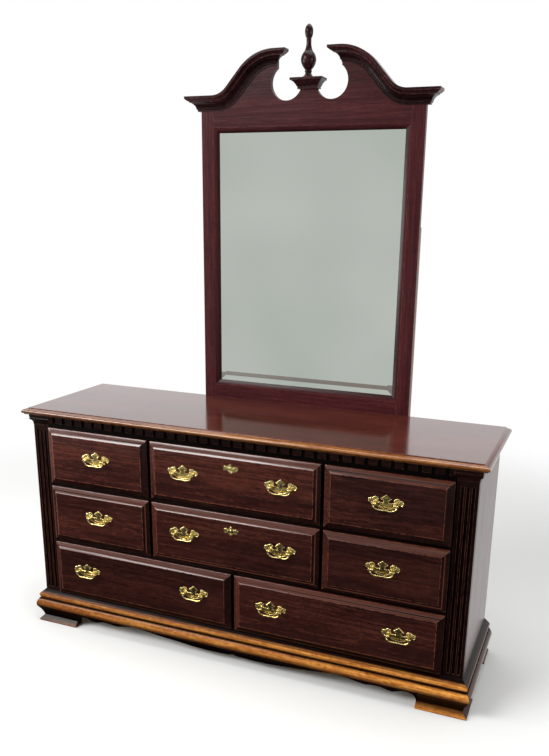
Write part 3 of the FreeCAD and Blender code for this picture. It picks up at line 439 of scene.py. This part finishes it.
def easeEdges(mesh, width):
    # the sawn and planed arrises of real boards are slightly rounded by sanding and wear
    # the bevelled faces are marked for the lighter edge colour, worn and painted highlight
    wearHighlightLayer = mesh.faces.layers.float.new("edgeWearAndHighlight")
    crisp = [edge for edge in mesh.edges if edge.is_manifold and edge.is_convex
             and edge.calc_face_angle(0) > math.radians(meshLook["crisp"])]
    rounded = bmesh.ops.bevel(mesh, geom=crisp, offset=width, offset_type="OFFSET", segments=2,
                              profile=0.5, affect="EDGES", clamp_overlap=False, material=-1)
    for face in rounded["faces"]:
        face[wearHighlightLayer] = 1.0


def shadeMesh(mesh, sharpAngle):
    for face in mesh.faces:
        face.smooth = True
    for edge in mesh.edges:
        edge.smooth = edge.is_manifold and edge.calc_face_angle(0) < math.radians(sharpAngle)


# how far the next board of a piece was from this one in the log
nextBoard = Vector((0.37, 0.21, 0.53))


def woodPiece(node, name, look):
    mesh = cadCopy(node)
    easeEdges(mesh, look["edge"])
    shiftLayer = mesh.faces.layers.float_vector.new("boardShift")
    toneLayer = mesh.loops.layers.float_vector.new("boardTone")
    for face in mesh.faces:
        centre = face.calc_center_median()
        axis, board = look["boards"](centre)
        face.material_index = axis
        face[shiftLayer] = Vector(look["shift"]) + nextBoard * board
        for corner in face.loops:
            corner[toneLayer] = [clamp(part) for part in look["tone"](corner.vert.co, centre)]
    shadeMesh(mesh, meshLook["woodSharp"])
    piece = finishPiece(mesh, name, node)
    for axis in look["axes"]:
        piece.data.materials.append(lacqueredWood(look["finish"], axis))
    normals = piece.modifiers.new("flatFaces", "WEIGHTED_NORMAL")
    normals.keep_sharp = True


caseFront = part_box("pilasters")[0].y
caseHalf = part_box("side_panels")[1].x
topLow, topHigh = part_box("top_board")
mirrorLow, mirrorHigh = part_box("mirror_frame")
mirrorMiddle = (mirrorLow.x + mirrorHigh.x) / 2
openLow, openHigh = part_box("mirror_sticking")
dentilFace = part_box("dentil_strip")[0].y

# a side panel is glued up from boards
boardsPerMetre = 7


# each rule tells a face's grain axis, first or second of the piece's axes, and its board
def oneBoard(centre):
    return 0, 0


def byColumn(centre):
    return 0, round(centre.x * boardsPerMetre)


def aroundCase(centre):
    # front strips run along X, the strips round the ends run along Y
    wrapped = abs(centre.x) > caseHalf and centre.y > caseFront - (abs(centre.x) - caseHalf)
    return (1, 1 if centre.x > 0 else 2) if wrapped else (0, 0)


def mirrorStick(centre):
    upright = abs(centre.x - mirrorMiddle) > (openHigh.x - openLow.x) / 2 - mm
    return (1, 1 if centre.x > mirrorMiddle else 2) if upright else (0, 0)


def mirrorStrip(centre):
    # mitred strips: the nearer pair of sides decides
    acrossGap = min(centre.x - openLow.x, openHigh.x - centre.x)
    upGap = min(centre.z - openLow.z, openHigh.z - centre.z)
    return (1, 1 if centre.x > mirrorMiddle else 2) if acrossGap < upGap else (0, 0)


# each tone gives the glaze with painted shade, the amber with painted light and the red painted
# light at a point of a face; lengths in the settings are mm
def evenTone(glazeAndShade):
    return lambda point, centre: (glazeAndShade, 0.0, 0.0)


def depthShade(face, deep, start):
    # painted shade grows with the depth behind the face
    return lambda point, centre: (start + (point.y - face) / (deep * mm), 0.0, 0.0)


topLook = {"glazeAndShade": 0.15, "nose": 20, "skin": 1, "amberLeft": 0.2, "amberMore": 0.4,
           "amberFrom": 2.5, "amberOver": 2, "darkMore": 0.65, "darkFrom": 9, "darkOver": 8}


def topTone(point, centre):
    # thin amber with painted warm light along the moulded front edge, more to the right, and
    # painted shade under the nose
    depth = (topHigh.z - point.z) / mm
    front = (centre.y < topLow.y + topLook["nose"] * mm
             and centre.z < topHigh.z - topLook["skin"] * mm)
    lean = topLook["amberLeft"] + topLook["amberMore"] * clamp((point.x + caseHalf) / caseHalf)
    amber = lean * clamp((depth - topLook["amberFrom"]) / topLook["amberOver"]) if front else 0.0
    dark = clamp((depth - topLook["darkFrom"]) / topLook["darkOver"])
    return topLook["glazeAndShade"] + topLook["darkMore"] * dark, amber, 0.0


def heightTone(stops, point):
    # stops: height in mm -> glaze with painted shade, amber with painted light
    height = point.z / mm
    for (high, first), (low, second) in zip(stops, stops[1:]):
        if height >= low:
            part = clamp((high - height) / (high - low))
            return [a + (b - a) * part for a, b in zip(first, second)]
    return stops[-1][1]


# painted light and shade down the profiles: amber on faces turned up, dark on undersides and coves
beadStops = [(122, (0.96, 0.0)), (118, (0.05, 0.4)), (116, (0.4, 0.5)), (112, (0.0, 1.0)),
             (103, (0.0, 0.8)), (97, (0.5, 0.4)), (94, (0.9, 0.0))]
footStops = [(94, (0.9, 0.0)), (90, (0.1, 0.7)), (84, (0.0, 1.0)), (77, (0.1, 0.9)),
             (68, (0.5, 0.6)), (60, (0.9, 0.1)), (40, (1.0, 0.0)), (24, (0.95, 0.0)),
             (15, (0.25, 0.5)), (4, (0.0, 0.9)), (0, (0.2, 0.5))]
baseLook = {"sideGlaze": 0.35, "sideMore": 0.9, "sideAmber": 0.08, "leanWide": 0.8,
            "footTop": 60, "footOver": 20, "footMore": 0.6, "amberLeft": 0.45, "amberMore": 0.55}


def baseTone(stops):
    def tone(point, centre):
        # the sides stay dark; in front the amber and its painted light are thinner, and painted
        # shade darkens the feet, to the left
        glazeAndShade, amber = heightTone(stops, point)
        if aroundCase(centre)[0]:
            side = baseLook["sideGlaze"] + baseLook["sideMore"] * glazeAndShade
            return side, baseLook["sideAmber"] * amber, 0.0
        lean = clamp((point.x + caseHalf) / (baseLook["leanWide"] * caseHalf))
        foot = clamp((baseLook["footTop"] * mm - point.z) / (baseLook["footOver"] * mm))
        return (glazeAndShade + baseLook["footMore"] * (1 - lean) * foot,
                (baseLook["amberLeft"] + baseLook["amberMore"] * lean) * amber, 0.0)
    return tone


crownLook = {"flat": 0.2, "flatOut": 0.5, "cove": 0.45, "coveOut": 24, "coveOver": 12}
stickLook = {"inner": 0.65, "wide": 16}


def crownShade(point, centre):
    # painted shade in the cove under the top fillet
    out = (mirrorLow.y - point.y) / mm
    cove = crownLook["cove"] * clamp((crownLook["coveOut"] - out) / crownLook["coveOver"])
    return (cove if out > crownLook["flatOut"] else crownLook["flat"]), 0.0, 0.0


def stickTone(point, centre):
    # the strip round the glass darkens towards it
    gap = min(point.x - openLow.x, openHigh.x - point.x, point.z - openLow.z,
              openHigh.z - point.z)
    return stickLook["inner"] * clamp(gap / (stickLook["wide"] * mm)), 0.0, 0.0


plainTone, crestTone, darkTone = evenTone(0.0), evenTone(0.25), evenTone(0.8)
fluteShade, dentilShade = depthShade(caseFront, 3, 0.0), depthShade(dentilFace, 5, 0.15)
# node: finish, grain axes, rule, tone and the place of the board in the log
woodParts = {
    "top_board": ("topMahogany", "X", oneBoard, topTone, (0.2, 0.0, -0.8)),
    "side_panels": ("sideMahogany", "Z", byColumn, plainTone, (0.0, 0.1, 0.0)),
    "front_rails": ("caseMahogany", "X", oneBoard, darkTone, (0.1, 0.3, 0.2)),
    "front_stiles": ("caseMahogany", "Z", byColumn, darkTone, (0.1, 0.3, 0.2)),
    "pilasters": ("caseMahogany", "Z", byColumn, fluteShade, (0.4, 0.2, 0.2)),
    "cornice_mouldings": ("caseMahogany", "XY", aroundCase, plainTone, (0.0, 0.5, 0.2)),
    "dentil_strip": ("caseMahogany", "X", oneBoard, dentilShade, (0.5, 0.5, 0.2)),
    "base_mouldings": ("baseMahogany", "XY", aroundCase, baseTone(beadStops), (0.3, 0.2, 0.1)),
    "base_front": ("baseMahogany", "X", oneBoard, baseTone(footStops), (0.6, 0.1, 0.0)),
    "base_sides": ("baseMahogany", "Y", oneBoard, baseTone(footStops), (0.2, 0.6, 0.0)),
    "mirror_frame": ("mirrorMahogany", "XZ", mirrorStick, plainTone, (0.0, 0.2, 0.1)),
    "mirror_sticking": ("mirrorMahogany", "XZ", mirrorStrip, stickTone, (0.3, 0.2, 0.1)),
    "mirror_crest": ("mirrorMahogany", "X", oneBoard, crestTone, (0.1, -0.15, -2.0)),
    "crown_mouldings": ("crownMahogany", "X", oneBoard, crownShade, (0.0, 0.3, 0.0)),
    "finial": ("crownMahogany", "Z", oneBoard, plainTone, (0.0, 0.0, 0.0))}
caseEdge = 0.8 * mm
for node, (finish, axes, rule, tone, shift) in woodParts.items():
    woodPiece(node, node + "_wood", {"finish": finish, "axes": axes, "boards": rule, "tone": tone,
                                     "shift": shift, "edge": caseEdge})
print("stage 4: case and mirror woodwork")


# brass plates: cast relief worked out in mm on a fine grid from the plate's outline
def discGap(x, z, middleX, middleZ, radius):
    return math.hypot(x - middleX, z - middleZ) - radius


def bump(gap, width):
    return math.exp(-(gap / width) ** 2)


# the pull's plate: discs and scrolls by middle and radius, beads by distance, height and width
pullLook = {"barMiddle": 48.3, "barRadius": 68.3, "barTop": 3, "barHalf": 28,
            "diamondHalf": 18, "diamondMiddle": 15.5, "diamondTall": 14.5, "diamondScale": 11.3,
            "blockHalf": 9, "blockTop": 15, "blockLow": -3,
            "discs": ((31.75, -3, 9.5), (35, 9.5, 10.5), (47.5, 5, 9.5)),
            "base": 1.2, "rim": (1.6, 0.9, 0.9), "post": (31.75, 0, 8.2), "postBead": (0.9, 0.9),
            "middle": {"high": 0.5, "half": 24, "over": 5},
            "facet": {"high": 0.5, "rim": 2.5, "over": 8, "half": 22, "fade": 4},
            "scrolls": ((36, 11, 7.5), (48.5, 4.5, 6.5)), "curl": (0.62, 0.38),
            "arm": (1.0, 1.1), "eye": (1.3, 1.9)}


def pullGap(x, z):
    # signed distance to the outline: bar, diamond, bosses, wings and lobes
    x, look = abs(x), pullLook
    bar = max(discGap(x, z, 0, look["barMiddle"], look["barRadius"]), z - look["barTop"],
              x - look["barHalf"])
    tall = abs(z - look["diamondMiddle"]) / look["diamondTall"]
    diamond = (x / look["diamondHalf"] + tall - 1) * look["diamondScale"]
    block = max(x - look["blockHalf"], z - look["blockTop"], look["blockLow"] - z)
    return min(bar, diamond, block, *(discGap(x, z, *disc) for disc in look["discs"]))


def pullRelief(x, z):
    # height above the drawer: a bead round the outline, a faceted diamond, curled scrolls
    x, look = abs(x), pullLook
    gap = pullGap(x, z)
    rimIn, rimHigh, rimWide = look["rim"]
    height = look["base"] + rimHigh * bump(gap + rimIn, rimWide)
    middle, facet = look["middle"], look["facet"]
    height += (middle["high"] * clamp((middle["half"] - x) / middle["over"])
               + facet["high"] * clamp((-facet["rim"] - gap) / facet["over"])
               * clamp((facet["half"] - x) / facet["fade"]))
    for middleX, middleZ, radius in look["scrolls"]:
        arm = math.hypot(x - middleX, z - middleZ)
        turn = math.atan2(z - middleZ, x - middleX)
        curl = radius * (look["curl"][0] + look["curl"][1] * ((turn / (2 * math.pi)) % 1.0))
        height += (look["arm"][0] * bump(arm - curl, look["arm"][1])
                   + look["eye"][0] * bump(arm, look["eye"][1]))
    postHigh, postWide = look["postBead"]
    return height + postHigh * bump(discGap(x, z, *look["post"]), postWide)


# the escutcheon: body, pointed tips, two wings and a keyhole
keyLook = {"body": (0, 0, 11), "wing": (19, 2, 8.5), "hole": (0, 2, 2.6), "slotHalf": 1.3,
           "slotTop": 2, "slotLow": -6, "slope": 0.8, "upSlope": 0.62, "upTip": 12.4,
           "downSlope": 0.7, "downTip": 11.9, "base": 1.1, "rim": (1.4, 0.8, 0.8),
           "wingEye": (19, 3), "eye": (0.9, 1.8), "wingRing": (18, 3, 5.2), "wingBead": (0.7, 0.9),
           "ring": (0, 0, 6.5), "ringBead": (0.5, 1.0)}


def keyGap(x, z):
    x, look = abs(x), keyLook
    up = max(x * look["slope"] + z * look["upSlope"] - look["upTip"], -z)
    down = x * look["slope"] - z * look["downSlope"] - look["downTip"]
    slot = max(x - look["slotHalf"], z - look["slotTop"], look["slotLow"] - z)
    hole = min(discGap(x, z, *look["hole"]), slot)
    plate = min(discGap(x, z, *look["body"]), up if z > 0 else down, discGap(x, z, *look["wing"]))
    return max(plate, -hole)


def keyRelief(x, z):
    x, look = abs(x), keyLook
    rimIn, rimHigh, rimWide = look["rim"]
    height = look["base"] + rimHigh * bump(keyGap(x, z) + rimIn, rimWide)
    height += (look["eye"][0] * bump(discGap(x, z, *look["wingEye"], 0), look["eye"][1])
               + look["wingBead"][0] * bump(discGap(x, z, *look["wingRing"]), look["wingBead"][1]))
    return height + look["ringBead"][0] * bump(discGap(x, z, *look["ring"]), look["ringBead"][1])


castLook = {"settles": 3, "probe": 0.05, "slopeLeast": 0.25, "moveMost": 0.5, "rimWide": 0.8,
            "rimLow": 0.55, "rimRise": 0.45, "sidePatinaShade": 0.8, "facePatinaShade": 0.9,
            "hollowTop": 1.5, "hollowOver": 0.35, "rimGain": 1.5}


# a direction in which no two grid points lie level
sortWay = Vector((1.0, 0.0371, 0.618034))


def castPlate(gapOf, reliefOf, halfX, lowZ, highZ, step):
    # a mesh with its flat back on the drawer at y = 0 and relief towards -y
    look = castLook
    mesh = bmesh.new()
    verts = {}

    def vertAt(corner):
        if corner not in verts:
            verts[corner] = mesh.verts.new((-halfX + corner[0] * step, 0, lowZ + corner[1] * step))
        return verts[corner]

    for i in range(round(2 * halfX / step)):
        for k in range(round((highZ - lowZ) / step)):
            if gapOf(-halfX + i * step + step / 2, lowZ + k * step + step / 2) < 0:
                corners = ((i, k), (i + 1, k), (i + 1, k + 1), (i, k + 1))
                mesh.faces.new([vertAt(corner) for corner in corners][::-1])
    # the stepped border settles on the outline
    probe, most = look["probe"], look["moveMost"]
    for vert in [v for v in mesh.verts if v.is_boundary]:
        for _ in range(look["settles"]):
            x, z = vert.co.x, vert.co.z
            gap = gapOf(x, z)
            slopeX = (gapOf(x + probe, z) - gap) / probe
            slopeZ = (gapOf(x, z + probe) - gap) / probe
            size = max(look["slopeLeast"], slopeX ** 2 + slopeZ ** 2)
            vert.co.x -= max(-most, min(most, gap * slopeX / size))
            vert.co.z -= max(-most, min(most, gap * slopeZ / size))
    # patina with painted shade: the sides darken towards the drawer, and so does the low ground
    # inside the rim
    patinaShadeLayer = mesh.verts.layers.float.new("patinaAndShade")
    raised = bmesh.ops.extrude_face_region(mesh, geom=mesh.faces[:])
    for vert in mesh.verts:
        vert[patinaShadeLayer] = look["sidePatinaShade"]
    for item in raised["geom"]:
        if isinstance(item, bmesh.types.BMVert):
            height = reliefOf(item.co.x, item.co.z)
            rim = clamp(-gapOf(item.co.x, item.co.z) / look["rimWide"])
            item.co.y = -height * (look["rimLow"] + look["rimRise"] * rim)
            low = clamp((look["hollowTop"] - height) / look["hollowOver"])
            item[patinaShadeLayer] = look["facePatinaShade"] * low * clamp(rim * look["rimGain"])
    bmesh.ops.recalc_face_normals(mesh, faces=mesh.faces)
    bmesh.ops.scale(mesh, vec=(mm, mm, mm), verts=mesh.verts)
    shadeMesh(mesh, meshLook["castSharp"])
    # extruding keeps no fixed order, so one is given by place, for the same mesh in each run
    mesh.verts.sort(key=lambda vert: vert.co.dot(sortWay))
    mesh.edges.sort(key=lambda edge: (edge.verts[0].co + edge.verts[1].co).dot(sortWay))
    mesh.faces.sort(key=lambda each: each.calc_center_median().dot(sortWay))
    return meshData(mesh, "castPlate")


# a flat plate of the solid model wider than leastWide gives way to a cast one: a pull's plate if
# wider than pullWide, else an escutcheon; top is how high the plate reaches above its middle
plateLook = {"leastWide": 40, "pullWide": 80, "top": {"pull": 30, "key": 20},
             "pull": {"halfX": 58.5, "lowZ": -21.9, "highZ": 31.2, "step": 0.9},
             "key": {"halfX": 28.8, "lowZ": -18, "highZ": 21, "step": 0.75}}
plates = {"pull": castPlate(pullGap, pullRelief, **plateLook["pull"]),
          "key": castPlate(keyGap, keyRelief, **plateLook["key"])}


def looseParts(mesh):
    # ordered throughout, so that each run gives the same mesh; a part grows while it is walked
    left = dict.fromkeys(mesh.verts)
    while left:
        part = [next(iter(left))]
        del left[part[0]]
        for vert in part:
            for edge in vert.link_edges:
                other = edge.other_vert(vert)
                if other in left:
                    del left[other]
                    part.append(other)
        yield part


def brassPiece(node, name):
    # the flat plates of the solid model give way to the cast ones, posts and nuts stay
    mesh = cadCopy(node)
    patinaShadeLayer = mesh.verts.layers.float.new("patinaAndShade")
    cast = []
    for part in list(looseParts(mesh)):
        spots = [vert.co for vert in part]
        lowX, highX = min(p.x for p in spots), max(p.x for p in spots)
        if highX - lowX > plateLook["leastWide"] * mm and not node.startswith("bail"):
            kind = "pull" if highX - lowX > plateLook["pullWide"] * mm else "key"
            middleZ = max(p.z for p in spots) - plateLook["top"][kind] * mm
            cast.append((kind, Vector(((lowX + highX) / 2, max(p.y for p in spots), middleZ))))
            bmesh.ops.delete(mesh, geom=part, context="VERTS")
        else:
            for vert in part:
                vert[patinaShadeLayer] = 0.0
    shadeMesh(mesh, meshLook["postSharp"])
    for kind, spot in cast:
        before = set(mesh.verts)
        mesh.from_mesh(plates[kind])
        bmesh.ops.translate(mesh, vec=spot, verts=[v for v in mesh.verts if v not in before])
    piece = finishPiece(mesh, name, node)
    piece.data.materials.append(brass)


# drawer fronts, in mm: the field stands field before the case, and painted shade darkens the lip
# from lipDark before it over lipOver. rims, as upper, left, lower and right: share of the front's
# stain, own glaze with painted shade, and painted red light. The last two say how far on in the
# log, in metres, the next front was cut.
frontLook = {"field": 18.5, "lipShade": 0.9, "lipDark": 8, "lipOver": 4,
             "rims": ((0.3, 0.0, 0.3), (0.6, 0.0, 0.1), (0.0, 0.75, 0.0), (0.0, 0.7, 0.0)),
             "edge": 1.2 * mm, "nextAlong": 0.31, "nextUp": 0.02}
# how much darker each front took the stain, with painted shade that mostly grows to the right and
# downwards
drawerStainAndShade = {"bottom_left": 0.40, "bottom_right": 0.22, "middle_left": 0.20,
               "middle_center": 0.25, "middle_right": 0.45, "top_left": 0.0, "top_center": 0.05,
               "top_right": 0.30}


def frontTone(stain, low, high):
    def tone(point, centre):
        # the field took the stain, the rim carries redder painted light above and on the left and
        # dark glaze with painted shade below and on the right, and painted shade darkens the lip
        # behind
        if centre.y < caseFront - frontLook["field"] * mm:
            return stain, 0.0, 0.0
        gaps = [high.z - centre.z, centre.x - low.x, centre.z - low.z, high.x - centre.x]
        share, own, litRed = frontLook["rims"][gaps.index(min(gaps))]
        behind = (point.y - caseFront) / mm
        lip = frontLook["lipShade"] * clamp((behind + frontLook["lipDark"]) / frontLook["lipOver"])
        return max(share * stain + own, lip), 0.0, litRed
    return tone


for number, (drawer, stain) in enumerate(drawerStainAndShade.items()):
    low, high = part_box("drawer_front_" + drawer)
    middle = (low + high) / 2
    # the fronts are cut from different parts of the log, near its heart
    up = frontLook["nextUp"]
    shift = (frontLook["nextAlong"] * number, -middle.y - up,
             -middle.z + up * ((number * 5) % 3 - 1))
    woodPiece("drawer_front_" + drawer, "front_" + drawer,
              {"finish": "frontMahogany", "axes": "X", "boards": oneBoard,
               "tone": frontTone(stain, low, high), "shift": shift, "edge": frontLook["edge"]})
    for slotHolder in frame["nodes"]["drawer_box_" + drawer].material_slots:
        slotHolder.material = poplarY
    brassPiece("drawer_pulls_" + drawer, "pulls_" + drawer)
print("stage 5: drawers")

cadFinishes = {"back_panel": hardboard, "mirror_backing": hardboard, "support_screws": steel,
               "back_rails": poplarX, "inner_boards": poplarX, "rear_feet": poplarX,
               "drawer_runners": poplarY, "mirror_supports": poplarZ}
for node, finish in cadFinishes.items():
    for slotHolder in frame["nodes"][node].material_slots:
        slotHolder.material = finish
for node in frame["nodes"]:
    if node.startswith("bail_"):
        brassPiece(node, node + "_brass")

# the mirror glass has a ground bevel all round its face
glassLook = {"bevelWide": 0.043, "bevelDeep": 0.0012, "turn": 0.1, "nearly": 0.1 * mm}
low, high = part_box("mirror_glass")
glass = bmesh.new()
turnLayer = glass.faces.layers.float_vector.new("groundTurn")
bmesh.ops.create_cube(glass, size=1, matrix=(Matrix.Translation((low + high) / 2)
                                             @ Matrix.Diagonal((*(high - low), 1))))
face = min(glass.faces, key=lambda f: f.calc_center_median().y)
bmesh.ops.inset_region(glass, faces=[face], thickness=glassLook["bevelWide"])
for vert in glass.verts:
    onRim = min(abs(vert.co.x - low.x), abs(vert.co.x - high.x)) < glassLook["nearly"]
    if onRim and vert.co.y < (low.y + high.y) / 2:
        vert.co.y += glassLook["bevelDeep"]
for bevel in {near for edge in face.edges for near in edge.link_faces} - {face}:
    inward = face.calc_center_median() - bevel.calc_center_median()
    inward.y = 0
    bevel[turnLayer] = glassLook["turn"] * inward.normalized()
glassPiece = finishPiece(glass, "bevelled_glass", "mirror_glass")
glassPiece.data.materials.append(silvered)
# the glass shows the room, but no soft box shines in it from any side
boxesSpare = bpy.data.collections.new("boxesSpare")
boxesSpare.objects.link(glassPiece)
boxesSpare.collection_objects[0].light_linking.link_state = "EXCLUDE"
for light in softBoxes:
    light.light_linking.receiver_collection = boxesSpare
print("stage 6: brass and glass")
